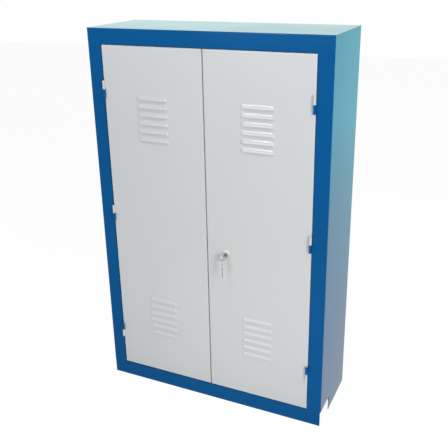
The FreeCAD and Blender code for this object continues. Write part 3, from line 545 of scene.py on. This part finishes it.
@dataclass(frozen=True)
class Plating:
    """Bright metal plated on steel or brass."""

    name: str
    slot: Slot
    colour: Colour
    bloom_colour: Colour
    low_roughness: float
    high_roughness: float
    draw: Axis
    streak_size: float
    bloom_size: float
    relief_depth: float
    metallic: float = 1.0
    smear_size: float = 0.02
    smear_haze: float = 0.08
    edge: float = 0.00025

    def material(self, effects: Effects) -> bpy.types.Material:
        """Build the finish.

        Args:
            effects: The shared groups.

        Returns:
            The material.
        """
        surface = Surface(self.name)
        grain = surface.effect(
            effects.rolled_grain,
            draw=self.draw.value,
            streak_size=self.streak_size,
            bloom_size=self.bloom_size,
        )
        marks = surface.effect(effects.handling_marks, smear_size=self.smear_size)
        plate = surface.blend(grain.outputs["Bloom"], self.colour, self.bloom_colour)
        surface.link(plate, "Base Color")
        streaks = surface.span(grain.outputs["Streak"], self.low_roughness, self.high_roughness)
        smears = surface.span(marks.outputs["Smear"], 0.0, self.smear_haze)
        surface.link(surface.total(streaks, smears), "Roughness")
        surface.relief(grain.outputs["Height"], self.relief_depth, self.edge)
        surface.set(Metallic=self.metallic)
        return surface.material


@dataclass(frozen=True)
class Moulding:
    """Moulded rubber or plastic."""

    name: str
    slot: Slot
    colour: Colour
    worn_colour: Colour
    low_roughness: float
    high_roughness: float
    grain_size: float
    grain_depth: float
    nib_size: float = 0.004
    film_size: float = 0.03
    smear_size: float = 0.015
    edge: float = 0.0003

    def material(self, effects: Effects) -> bpy.types.Material:
        """Build the finish.

        Args:
            effects: The shared groups.

        Returns:
            The material.
        """
        surface = Surface(self.name)
        skin = surface.effect(
            effects.sprayed_skin,
            peel_size=self.grain_size,
            nib_size=self.nib_size,
            film_size=self.film_size,
        )
        marks = surface.effect(effects.handling_marks, smear_size=self.smear_size)
        worn = surface.blend(marks.outputs["Smear"], self.colour, self.worn_colour)
        surface.link(worn, "Base Color")
        gloss = surface.span(skin.outputs["Film"], self.low_roughness, self.high_roughness)
        surface.link(gloss, "Roughness")
        surface.relief(skin.outputs["Height"], self.grain_depth, self.edge)
        return surface.material


Finish = Enamel | Plating | Moulding

BLUE_ENAMEL = Enamel(
    name="blue_enamel",
    slot=Slot.BLUE_PAINT,
    colour=(0.0, 0.084, 0.258),
    thin_colour=(0.0, 0.093, 0.285),
    dust_colour=(0.003, 0.08, 0.225),
    low_roughness=0.15,
    high_roughness=0.19,
    gloss=0.15,
    peel_depth=0.000006,
)
GREY_ENAMEL = Enamel(
    name="grey_enamel",
    slot=Slot.GREY_PAINT,
    colour=(0.62, 0.63, 0.635),
    thin_colour=(0.63, 0.64, 0.645),
    dust_colour=(0.55, 0.55, 0.54),
    low_roughness=0.215,
    high_roughness=0.24,
    gloss=0.5,
    peel_depth=0.000008,
)
BRIGHT_ZINC = Plating(
    name="bright_zinc",
    slot=Slot.ZINC,
    colour=(0.55, 0.56, 0.58),
    bloom_colour=(0.68, 0.69, 0.7),
    low_roughness=0.24,
    high_roughness=0.42,
    draw=Axis.Z,
    streak_size=0.0008,
    bloom_size=0.005,
    relief_depth=0.00002,
)
POLISHED_NICKEL = Plating(
    name="polished_nickel",
    slot=Slot.NICKEL,
    colour=(0.68, 0.67, 0.64),
    bloom_colour=(0.75, 0.74, 0.71),
    low_roughness=0.1,
    high_roughness=0.17,
    draw=Axis.Y,
    streak_size=0.0005,
    bloom_size=0.012,
    relief_depth=0.000008,
)
SATIN_NICKEL = Plating(
    name="satin_nickel",
    slot=Slot.NICKEL,
    colour=(0.86, 0.85, 0.82),
    bloom_colour=(0.92, 0.91, 0.88),
    low_roughness=0.3,
    high_roughness=0.42,
    draw=Axis.Z,
    streak_size=0.0004,
    bloom_size=0.01,
    relief_depth=0.000006,
    metallic=0.6,
)
BUFFER_RUBBER = Moulding(
    name="buffer_rubber",
    slot=Slot.RUBBER,
    colour=(0.018, 0.018, 0.019),
    worn_colour=(0.035, 0.035, 0.036),
    low_roughness=0.6,
    high_roughness=0.8,
    grain_size=0.0006,
    grain_depth=0.00005,
)
KNOB_PLASTIC = Moulding(
    name="knob_plastic",
    slot=Slot.KNOB_PLASTIC,
    colour=(0.02, 0.02, 0.022),
    worn_colour=(0.032, 0.032, 0.034),
    low_roughness=0.18,
    high_roughness=0.34,
    grain_size=0.0015,
    grain_depth=0.00001,
)
# Finish of each slot, and the finishes of single nodes that go before it
FINISHES: tuple[Finish, ...] = (
    BLUE_ENAMEL,
    GREY_ENAMEL,
    BRIGHT_ZINC,
    POLISHED_NICKEL,
    BUFFER_RUBBER,
    KNOB_PLASTIC,
)
NODE_FINISHES: dict[str, Finish] = {"lock_housing": SATIN_NICKEL}


@dataclass
class Wardrobe:
    """Every finish of the cabinet, ready to be put on its pieces."""

    effects: Effects
    materials: dict[Slot, bpy.types.Material] = field(default_factory=dict)
    node_materials: dict[str, bpy.types.Material] = field(default_factory=dict)

    def mix(self) -> None:
        """Build each finish once."""
        for finish in FINISHES:
            self.materials[finish.slot] = finish.material(self.effects)
        for name, finish in NODE_FINISHES.items():
            self.node_materials[name] = finish.material(self.effects)

    def dress_node(self, name: str, node: bpy.types.Object, slot: Slot) -> None:
        """Put a finish on a node of the frame.

        Args:
            name: The node's name.
            node: The node's object.
            slot: Slot of its finish.
        """
        node.data.materials.clear()
        node.data.materials.append(self.node_materials.get(name, self.materials[slot]))

    def dress_piece(self, piece: bpy.types.Object, slot: Slot, body: Body) -> None:
        """Put a finish on a piece of the scene and let it ride on its body.

        Args:
            piece: The piece.
            slot: Slot of its finish.
            body: Body that carries it.
        """
        piece.data.materials.append(self.materials[slot])
        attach(piece, body.value)
        LOG.info("piece %s rides on %s", piece.name, body.value)


@dataclass(frozen=True)
class Lamp:
    """Square soft lamp."""

    name: str
    place: Place
    target: Place
    size: float
    watts: float
    colour: Colour = (1.0, 1.0, 1.0)
    unseen: bool = False

    def hang(self) -> None:
        """Hang the lamp in its place and point it at its target."""
        data = bpy.data.lights.new(self.name, "AREA")
        data.size = self.size
        data.energy = self.watts
        data.color = self.colour
        lamp = bpy.data.objects.new(self.name, data)
        lamp.location = self.place
        aim = Vector(self.target) - Vector(self.place)
        lamp.rotation_euler = aim.to_track_quat("-Z", "Y").to_euler()
        if self.unseen:
            lamp.visible_camera = False
            lamp.visible_glossy = False
        bpy.context.scene.collection.objects.link(lamp)


LAMPS = (
    Lamp("key_lamp", (2.0, -1.65, 1.5), (0.0, -0.1, 0.6), 0.7, 34.0),
    Lamp("hood_lamp", (-0.3, -0.9, 2.2), (0.167, -0.1, 0.9), 0.35, 6.5, (0.9, 1.0, 1.08)),
    Lamp("fill_lamp", (-0.9, -3.0, 1.5), (0.0, -0.1, 0.5), 1.0, 13.5),
    Lamp("bounce_lamp", (0.05, -0.7, 0.02), (0.0, -0.1, 0.2), 0.8, 1.3, unseen=True),
)


@dataclass
class Studio:
    """Pale floor, soft lamps, a white surround with painted reflections, and the camera.

    The camera's values were fitted to the cabinet's edges in the photograph: its focal length and
    the middle of its view in pixels, its place in metres, and its tilt, roll and heading in
    degrees.
    """

    focal_pixels: float = 651.8
    frame_pixels: float = 448.0
    sensor: float = 36.0
    principal: tuple[float, float] = (225.4, 201.5)
    camera_place: Place = (0.8322, -1.7496, 1.384)
    camera_turn: tuple[float, float, float] = (69.58, -1.03, 25.09)
    view_depth: float = 60.0
    floor_half: float = 8.0
    floor_drop: float = 0.0005
    floor_colour: Colour = (0.8, 0.8, 0.8)
    floor_roughness: float = 0.9
    floor_glow: float = 1.22
    floor_glow_share: float = 0.74
    # Painted reflections that only glossy rays see: where they fade, their tints near, far, on the
    # walls and in front, and their dimmed strength in front
    floor_fade: tuple[float, float] = (-0.122, -0.102)
    front_fade: tuple[float, float] = (-0.4, -0.1)
    near_painted_reflection: Colour = (1.0, 1.02, 1.0)
    far_painted_reflection: Colour = (0.84, 1.84, 1.72)
    far_fade: tuple[float, float] = (0.2, 4.0)
    painted_wall_reflection: Colour = (1.2, 1.52, 1.38)
    painted_front_reflection: Colour = (1.2, 1.2, 1.18)
    horizon_fade: tuple[float, float] = (-0.03, 0.04)
    dim_painted_reflection: float = 0.34
    ambient: float = 0.32

    def fade(
        self, tree: bpy.types.NodeTree, source: bpy.types.NodeSocket, low: float, high: float
    ) -> bpy.types.NodeSocket:
        """Fade from dark to full light between two values.

        Args:
            tree: Tree of the material or the world.
            source: Value to fade by.
            low: Value that is still dark.
            high: Value that is fully lit.

        Returns:
            The strength of the light.
        """
        made = tree.nodes.new("ShaderNodeMapRange")
        made.interpolation_type = "SMOOTHSTEP"
        made.inputs["From Min"].default_value = low
        made.inputs["From Max"].default_value = high
        made.inputs["To Min"].default_value = self.dim_painted_reflection
        tree.links.new(source, made.inputs["Value"])
        return made.outputs["Result"]

    def grade(
        self,
        tree: bpy.types.NodeTree,
        source: bpy.types.NodeSocket,
        ends: tuple[float, float],
        first: Colour,
        second: Colour | bpy.types.NodeSocket,
    ) -> bpy.types.NodeSocket:
        """Grade one colour into another between two values.

        Args:
            tree: Tree of the material or the world.
            source: Value to grade by.
            ends: Values at which the grading starts and ends.
            first: Colour at the start.
            second: Colour at the end.

        Returns:
            The graded colour.
        """
        share = tree.nodes.new("ShaderNodeMapRange")
        share.inputs["From Min"].default_value = ends[0]
        share.inputs["From Max"].default_value = ends[1]
        tree.links.new(source, share.inputs["Value"])
        made = tree.nodes.new("ShaderNodeMix")
        made.data_type = "RGBA"
        made.inputs[6].default_value = (*first, 1.0)
        if isinstance(second, bpy.types.NodeSocket):
            tree.links.new(second, made.inputs[7])
        else:
            made.inputs[7].default_value = (*second, 1.0)
        tree.links.new(share.outputs["Result"], made.inputs[0])
        return made.outputs[2]

    def place_camera(self) -> None:
        """Set the camera where the photograph was taken from."""
        data = bpy.data.cameras.new("camera")
        data.sensor_width = self.sensor
        data.lens = self.focal_pixels * self.sensor / self.frame_pixels
        middle = self.frame_pixels / 2
        data.shift_x = (middle - self.principal[0]) / self.frame_pixels
        data.shift_y = (self.principal[1] - middle) / self.frame_pixels
        data.clip_end = self.view_depth
        camera = bpy.data.objects.new("camera", data)
        tilt, roll, heading = (math.radians(angle) for angle in self.camera_turn)
        turn = Matrix.Rotation(heading, 4, "Z") @ Matrix.Rotation(tilt, 4, "X")
        turn = turn @ Matrix.Rotation(roll, 4, "Z")
        camera.matrix_world = Matrix.Translation(Vector(self.camera_place)) @ turn
        bpy.context.scene.collection.objects.link(camera)
        bpy.context.scene.camera = camera

    def floor_material(self) -> bpy.types.Material:
        """Build the floor's finish, almost white to the eye, with a painted reflection for glossy
        rays that is dim in front of the cabinet and graded to cyan far behind it.

        Returns:
            The material.
        """
        material = bpy.data.materials.new("pale_floor")
        material.use_nodes = True
        tree = material.node_tree
        shader = tree.nodes["Principled BSDF"]
        shader.inputs["Base Color"].default_value = (*self.floor_colour, 1.0)
        shader.inputs["Roughness"].default_value = self.floor_roughness
        shader.inputs["Specular IOR Level"].default_value = 0.0
        path = tree.nodes.new("ShaderNodeLightPath")
        share = tree.nodes.new("ShaderNodeMath")
        share.operation = "MULTIPLY"
        share.inputs[1].default_value = self.floor_glow_share
        tree.links.new(path.outputs["Is Camera Ray"], share.inputs[0])
        glow = tree.nodes.new("ShaderNodeEmission")
        glow.inputs["Strength"].default_value = self.floor_glow
        shown = tree.nodes.new("ShaderNodeMixShader")
        tree.links.new(share.outputs[0], shown.inputs[0])
        tree.links.new(shader.outputs[0], shown.inputs[1])
        tree.links.new(glow.outputs[0], shown.inputs[2])
        # Painted reflection: glossy rays see this emission instead of the lit floor
        painted_reflection = tree.nodes.new("ShaderNodeEmission")
        place = tree.nodes.new("ShaderNodeNewGeometry")
        split = tree.nodes.new("ShaderNodeSeparateXYZ")
        tree.links.new(place.outputs["Position"], split.inputs[0])
        behind = self.fade(tree, split.outputs["Y"], *self.floor_fade)
        tree.links.new(behind, painted_reflection.inputs["Strength"])
        far = self.grade(tree, split.outputs["Y"], self.far_fade, self.near_painted_reflection, self.far_painted_reflection)
        tree.links.new(far, painted_reflection.inputs["Color"])
        mix = tree.nodes.new("ShaderNodeMixShader")
        tree.links.new(path.outputs["Is Glossy Ray"], mix.inputs[0])
        tree.links.new(shown.outputs[0], mix.inputs[1])
        tree.links.new(painted_reflection.outputs[0], mix.inputs[2])
        tree.links.new(mix.outputs[0], tree.nodes["Material Output"].inputs["Surface"])
        return material

    def lay_floor(self) -> None:
        """Lay a pale floor that keeps the cabinet's soft shadow."""
        mesh = bpy.data.meshes.new("floor")
        grid = bmesh.new()
        bmesh.ops.create_grid(grid, x_segments=2, y_segments=2, size=self.floor_half)
        grid.to_mesh(mesh)
        grid.free()
        mesh.materials.append(self.floor_material())
        floor = bpy.data.objects.new("floor", mesh)
        floor.location.z = -self.floor_drop
        bpy.context.scene.collection.objects.link(floor)
        floor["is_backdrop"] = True

    def light_world(self) -> None:
        """Surround the cabinet with soft light, white to the eye, and a painted reflection for glossy
        rays, tinted cyan at the sides and behind and dimmer in front.
        """
        world = bpy.data.worlds.new("studio")
        bpy.context.scene.world = world
        world.use_nodes = True
        tree = world.node_tree
        soft = tree.nodes["Background"]
        soft.inputs["Color"].default_value = (1.0, 1.0, 1.0, 1.0)
        soft.inputs["Strength"].default_value = self.ambient
        white = tree.nodes.new("ShaderNodeBackground")
        white.inputs["Color"].default_value = (1.0, 1.0, 1.0, 1.0)
        # Painted reflection: glossy rays see this tinted surround instead of the soft light
        painted_reflection = tree.nodes.new("ShaderNodeBackground")
        place = tree.nodes.new("ShaderNodeTexCoord")
        split = tree.nodes.new("ShaderNodeSeparateXYZ")
        tree.links.new(place.outputs["Generated"], split.inputs[0])
        behind = self.fade(tree, split.outputs["Y"], *self.front_fade)
        tree.links.new(behind, painted_reflection.inputs["Strength"])
        wall = self.grade(
            tree, split.outputs["Z"], self.horizon_fade, self.far_painted_reflection, self.painted_wall_reflection
        )
        round_about = self.grade(
            tree, split.outputs["Y"], self.front_fade, self.painted_front_reflection, wall
        )
        tree.links.new(round_about, painted_reflection.inputs["Color"])
        path = tree.nodes.new("ShaderNodeLightPath")
        glossy = tree.nodes.new("ShaderNodeMixShader")
        tree.links.new(path.outputs["Is Glossy Ray"], glossy.inputs[0])
        tree.links.new(soft.outputs[0], glossy.inputs[1])
        tree.links.new(painted_reflection.outputs[0], glossy.inputs[2])
        seen = tree.nodes.new("ShaderNodeMath")
        seen.operation = "MAXIMUM"
        tree.links.new(path.outputs["Is Camera Ray"], seen.inputs[0])
        tree.links.new(path.outputs["Is Transmission Ray"], seen.inputs[1])
        shown = tree.nodes.new("ShaderNodeMixShader")
        tree.links.new(seen.outputs[0], shown.inputs[0])
        tree.links.new(glossy.outputs[0], shown.inputs[1])
        tree.links.new(white.outputs[0], shown.inputs[2])
        tree.links.new(shown.outputs[0], tree.nodes["World Output"].inputs["Surface"])

    def build(self) -> None:
        """Set up the camera, the floor and every light."""
        bpy.context.scene.view_settings.view_transform = "Standard"
        self.place_camera()
        self.lay_floor()
        self.light_world()
        for lamp in LAMPS:
            lamp.hang()
        LOG.info("studio is set")


WELD_DISTANCE = 1e-6
FULL_TURN = 360.0


# Pieces that the scene adds to the frame
class Piece:
    """A mesh piece under construction."""

    def __init__(self, name: str) -> None:
        """Start an empty piece.

        Args:
            name: Name of the piece.
        """
        self.name = name
        self.grid = bmesh.new()

    def bridge(self, rings: list[list[bmesh.types.BMVert]]) -> None:
        """Close a row of rings into a solid skin.

        Args:
            rings: Rings of the same number of points, in order.
        """
        for near, far in zip(rings, rings[1:]):
            for index, corner in enumerate(near):
                after = (index + 1) % len(near)
                self.grid.faces.new((corner, near[after], far[after], far[index]))
        self.grid.faces.new(rings[0])
        self.grid.faces.new(rings[-1])

    def sweep(
        self, path: list[Vector], radii: list[float], reference: Vector, sides: int = 10
    ) -> None:
        """Sweep a round section along a path.

        Args:
            path: Points of the path.
            radii: Radius of the section at each point.
            reference: Direction that is never along the path.
            sides: Sides of the section.
        """
        rings = []
        for index, (point, radius) in enumerate(zip(path, radii)):
            ahead = path[min(index + 1, len(path) - 1)] - path[max(index - 1, 0)]
            along = ahead.normalized()
            across = reference.cross(along).normalized()
            up = along.cross(across)
            ring = []
            for side in range(sides):
                angle = math.tau * side / sides
                place = point + (across * math.cos(angle) + up * math.sin(angle)) * radius
                ring.append(self.grid.verts.new(place))
            rings.append(ring)
        self.bridge(rings)

    def turn(
        self, centre: Vector, profile: tuple[tuple[float, float], ...], sides: int = 20
    ) -> None:
        """Turn a profile round a line along Y.

        Args:
            centre: Where the line meets the face that the profile stands on.
            profile: Radius and height of each point of the profile.
            sides: Sides of the turned solid.
        """
        rings = []
        for radius, height in profile:
            ring = []
            for side in range(sides):
                angle = math.tau * side / sides
                offset = Vector((radius * math.cos(angle), height, radius * math.sin(angle)))
                ring.append(self.grid.verts.new(centre + offset))
            rings.append(ring)
        self.bridge(rings)

    def finish(self) -> bpy.types.Object:
        """Turn the piece into an object.

        Returns:
            The object.
        """
        bmesh.ops.recalc_face_normals(self.grid, faces=self.grid.faces)
        for face in self.grid.faces:
            face.smooth = len(face.verts) == 4
        mesh = bpy.data.meshes.new(self.name)
        self.grid.to_mesh(mesh)
        self.grid.free()
        made = bpy.data.objects.new(self.name, mesh)
        bpy.context.scene.collection.objects.link(made)
        return made


def solid_boxes(node: bpy.types.Object) -> list[tuple[Vector, Vector]]:
    """Measure the separate solids of a node.

    Args:
        node: The node's object.

    Returns:
        Low and high corner of each solid's box.
    """
    grid = bmesh.new()
    grid.from_mesh(node.data)
    bmesh.ops.remove_doubles(grid, verts=grid.verts, dist=WELD_DISTANCE)
    waiting = set(grid.verts)
    boxes = []
    while waiting:
        front = [waiting.pop()]
        reached = list(front)
        while front:
            for edge in front.pop().link_edges:
                for vert in edge.verts:
                    if vert in waiting:
                        waiting.remove(vert)
                        front.append(vert)
                        reached.append(vert)
        low = Vector(min(vert.co[axis] for vert in reached) for axis in range(3))
        high = Vector(max(vert.co[axis] for vert in reached) for axis in range(3))
        boxes.append((low, high))
    grid.free()
    return sorted(boxes, key=lambda box: box[0].z)


@dataclass(frozen=True)
class HingeWelds:
    """Weld beads along the feet of one row of hinge leaves."""

    node: str
    slot: Slot
    body: Body
    toward_right: bool
    radius: float = 0.0014
    end_gap: float = 0.0035
    ripple_pitch: float = 0.0016
    ripple: float = 0.14
    steps: int = 5
    sunk_share: float = 0.35
    end_share: float = 0.25
    end_taper: float = 6.0

    def build(self, frame: dict, wardrobe: Wardrobe) -> None:
        """Lay one rippled bead along the outer edge of each foot.

        Args:
            wardrobe: The finishes.
        """
        piece = Piece(f"{self.node}_welds")
        for low, high in solid_boxes(frame["nodes"][self.node]):
            x = high.x if self.toward_right else low.x
            y = high.y - self.radius * self.sunk_share
            start = low.z + self.end_gap
            run = high.z - self.end_gap - start
            count = round(run / self.ripple_pitch) * self.steps
            path = []
            radii = []
            for index in range(count + 1):
                share = index / count
                end = min(1.0, self.end_taper * min(share, 1.0 - share) + self.end_share)
                wave = 1.0 + self.ripple * abs(math.sin(math.pi * index / self.steps))
                path.append(Vector((x, y, start + run * share)))
                radii.append(self.radius * wave * math.sqrt(end))
            piece.sweep(path, radii, Vector((1.0, 0.0, 0.0)))
        wardrobe.dress_piece(piece.finish(), self.slot, self.body)


@dataclass(frozen=True)
class SpotWelds:
    """Marks of the electrodes along both feet of a door's stiffener."""

    node: str
    body: Body
    foot: float = 0.014
    sheet: float = 0.0012
    pitch: float = 0.046
    end_gap: float = 0.023
    profile: tuple[tuple[float, float], ...] = (
        (0.0031, -0.0001),
        (0.0031, 0.00004),
        (0.0028, 0.00018),
        (0.0024, 0.00018),
        (0.002, 0.00004),
        (0.0006, 0.00002),
    )

    def build(self, frame: dict, wardrobe: Wardrobe) -> None:
        """Press one row of marks into each foot.

        Args:
            wardrobe: The finishes.
        """
        low, high = solid_boxes(frame["nodes"][self.node])[0]
        piece = Piece(f"{self.node}_spot_welds")
        run = high.z - low.z - 2 * self.end_gap
        count = round(run / self.pitch)
        for index in range(count + 1):
            z = low.z + self.end_gap + run * index / count
            for x in (low.x + self.foot / 2, high.x - self.foot / 2):
                piece.turn(Vector((x, low.y + self.sheet, z)), self.profile)
        wardrobe.dress_piece(piece.finish(), Slot.GREY_PAINT, self.body)


@dataclass(frozen=True)
class SplitRing:
    """Two-coil ring that carries both keys."""

    node: str = "key_ring"
    wire: float = 0.00035
    jog: float = 24.0
    steps: int = 60
    wire_share: float = 0.98
    along: Place = (0.866025, 0.5, 0.0)

    def build(self, frame: dict, wardrobe: Wardrobe) -> None:
        """Wind the ring in place of the plain one.

        Args:
            wardrobe: The finishes.
        """
        low, high = solid_boxes(frame["nodes"][self.node])[0]
        centre = (low + high) / 2
        radius = (high.z - low.z) / 2 - 2 * self.wire
        along = Vector(self.along)
        up = Vector((0.0, 0.0, 1.0))
        side = along.cross(up)
        path = []
        for index in range(2 * self.steps + 1):
            turned = FULL_TURN * index / self.steps
            step = min(1.0, max(0.0, (turned - FULL_TURN + self.jog) / self.jog))
            shift = self.wire * (2.0 * step * step * (3.0 - 2.0 * step) - 1.0)
            if turned > 2 * FULL_TURN - self.jog:
                break
            angle = math.radians(turned)
            place = centre + (along * math.cos(angle) + up * math.sin(angle)) * radius
            path.append(place + side * shift)
        piece = Piece("split_ring")
        piece.sweep(path, [self.wire * self.wire_share] * len(path), side, sides=8)
        ring = piece.finish()
        wardrobe.dress_piece(ring, Slot.NICKEL, Body.KEY_RING)
        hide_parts(self.node)


DETAILS: tuple[HingeWelds | SpotWelds | SplitRing, ...] = (
    HingeWelds("left_frame_hinge_barrels", Slot.BLUE_PAINT, Body.CARCASS, False),
    HingeWelds("right_frame_hinge_barrels", Slot.BLUE_PAINT, Body.CARCASS, True),
    HingeWelds("left_door_hinge_barrels", Slot.GREY_PAINT, Body.LEFT_DOOR, True),
    HingeWelds("right_door_hinge_barrels", Slot.GREY_PAINT, Body.RIGHT_DOOR, False),
    SpotWelds("left_door_stiffener", Body.LEFT_DOOR),
    SpotWelds("right_door_stiffener", Body.RIGHT_DOOR),
    SplitRing(),
)


def dress_frame(frame: dict, wardrobe: Wardrobe) -> None:
    """Put each node of the frame in the finish that the record gives it.

    Args:
        wardrobe: The finishes.
    """
    for entry in frame["record"]["subparts"]:
        node = frame["nodes"][entry["node"]]
        wardrobe.dress_node(entry["node"], node, Slot(entry["material_slot"]))
        LOG.info("node %s wears %s", entry["node"], entry["material_slot"])


def main() -> dict[str, list[list[float]]]:
    """Build the scene in order.

    Returns:
        The sizes of the frame and of the dressed cabinet.
    """
    logging.basicConfig(level=logging.INFO, format="%(name)s: %(message)s")
    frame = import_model()
    sizes = {"cad": [list(corner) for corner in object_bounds()]}
    Studio().build()
    wardrobe = Wardrobe(Effects.build())
    wardrobe.mix()
    dress_frame(frame, wardrobe)
    for detail in DETAILS:
        detail.build(frame, wardrobe)
    sizes["visual"] = [list(corner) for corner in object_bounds()]
    return sizes


if __name__ == "__main__":
    main()
